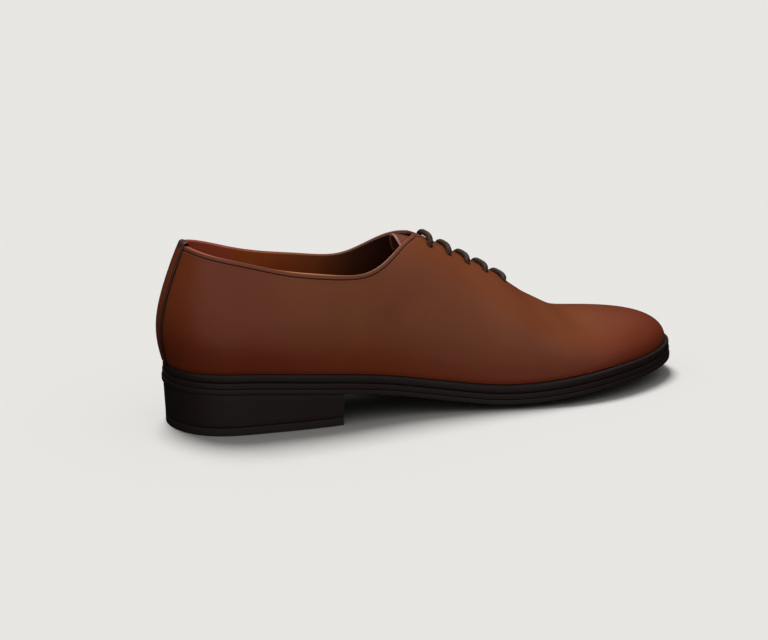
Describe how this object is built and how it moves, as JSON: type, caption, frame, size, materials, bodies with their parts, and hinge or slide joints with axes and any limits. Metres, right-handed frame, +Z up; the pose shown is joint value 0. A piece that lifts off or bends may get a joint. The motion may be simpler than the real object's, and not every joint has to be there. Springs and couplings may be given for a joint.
{
  "type": "whole cut oxford shoe",
  "caption": "Right whole cut oxford dress shoe: smooth calf upper with a slit throat and closed lacing, rounded welt edge, low stacked heel.",
  "frame": {"origin": "middle of the heel's flat underside, on the floor", "axes": "+X from the heel to the toe, +Y to the wearer's left, which is the inner side of this right shoe, +Z up"},
  "size_m": [0.3117, 0.1037, 0.1014],
  "materials": {
    "upper_leather": "smooth polished brown calf",
    "tongue_leather": "smooth brown calf",
    "lining_leather": "matt tan lining leather",
    "sole_edge": "black inked and waxed edge",
    "sole_leather": "black stained leather sole",
    "heel_stack": "black waxed stacked leather",
    "heel_rubber": "matt black rubber",
    "lace": "waxed round cotton lace"
  },
  "bodies": {
    "root": {"upper": "upper_leather", "back_strip": "upper_leather", "tongue": "tongue_leather", "insole": "lining_leather", "welt": "sole_edge", "midsole": "sole_edge", "outsole": "sole_leather", "heel": "heel_stack", "top_piece": "heel_rubber", "lace_bar_1": "lace", "lace_bar_2": "lace", "lace_bar_3": "lace", "lace_bar_4": "lace", "lace_bar_5": "lace"}
  },
  "joints": []
}
